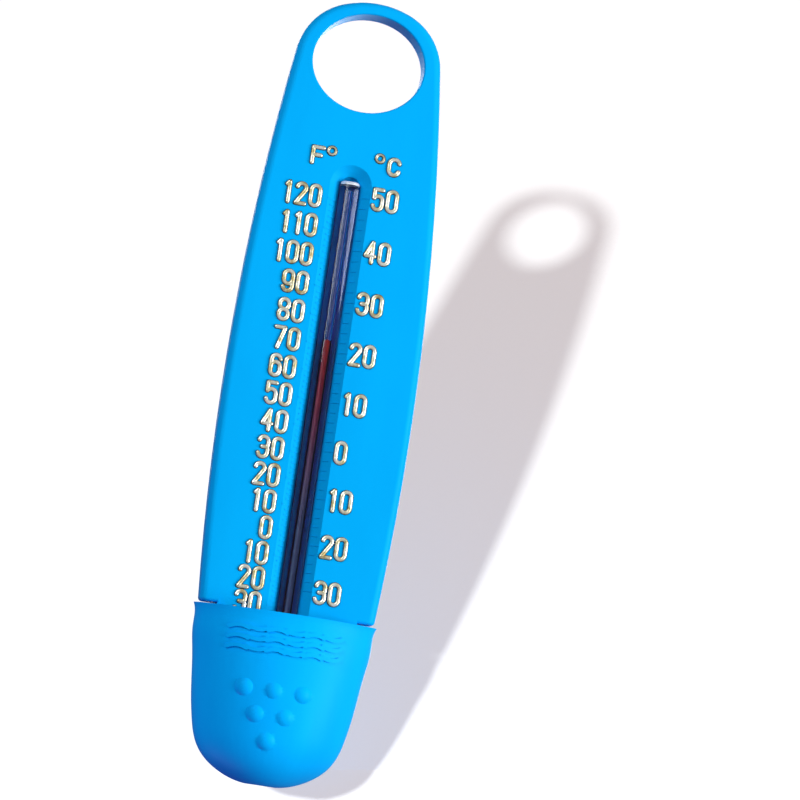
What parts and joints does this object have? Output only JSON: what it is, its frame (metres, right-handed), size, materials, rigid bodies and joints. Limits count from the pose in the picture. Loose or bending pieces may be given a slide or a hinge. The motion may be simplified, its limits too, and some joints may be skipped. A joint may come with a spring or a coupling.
{
  "type": "floating pool thermometer",
  "caption": "Flat paddle-shaped floating water thermometer with a hanging ring, a liquid-in-glass tube between two raised scales, and a bulged scoop cup that pulls off its foot.",
  "frame": {"origin": "centre of the oval hanging hole, at mid thickness of the float", "axes": "+Z from the scoop cup up to the hanging ring, -Y towards the reader (out of the scale face), +X to the reader's right (Celsius side)"},
  "size_m": [0.062, 0.0231, 0.2547],
  "materials": {
    "float_plastic": "moulded gloss, azure blue",
    "cover_plastic": "moulded satin, azure blue",
    "cup_plastic": "moulded gloss, azure blue",
    "tube_glass": "clear fire-polished glass",
    "spirit": "clear dyed liquid, red",
    "adhesive": "cured clear resin",
    "ballast_steel": "cut bar, zinc plated",
    "foil": "hot-stamped pale silver foil over raised beads"
  },
  "bodies": {
    "float": {"front_shell": "float_plastic", "rear_cover": "cover_plastic", "glass_tube": "tube_glass", "spirit_charge": "spirit", "spirit_thread": "spirit", "upper_tube_bond": "adhesive", "lower_tube_bond": "adhesive", "ballast_slugs": "ballast_steel", "fahrenheit_numerals": "foil", "celsius_numerals": "foil", "fahrenheit_mark": "foil", "celsius_mark": "foil"},
    "spirit_head": {"spirit_meniscus": "spirit"},
    "scoop": {"scoop_cup": "cup_plastic"}
  },
  "joints": [
    {"name": "spirit_rise", "type": "slide", "parent": "float", "child": "spirit_head", "axis": [0, 0, 1], "range_m": [-0.087, 0.0451], "deforming": ["spirit_thread"]},
    {"name": "cup_pull_off", "type": "slide", "parent": "float", "child": "scoop", "axis": [0, 0, -1], "range_m": [0, 0.06]}
  ]
}
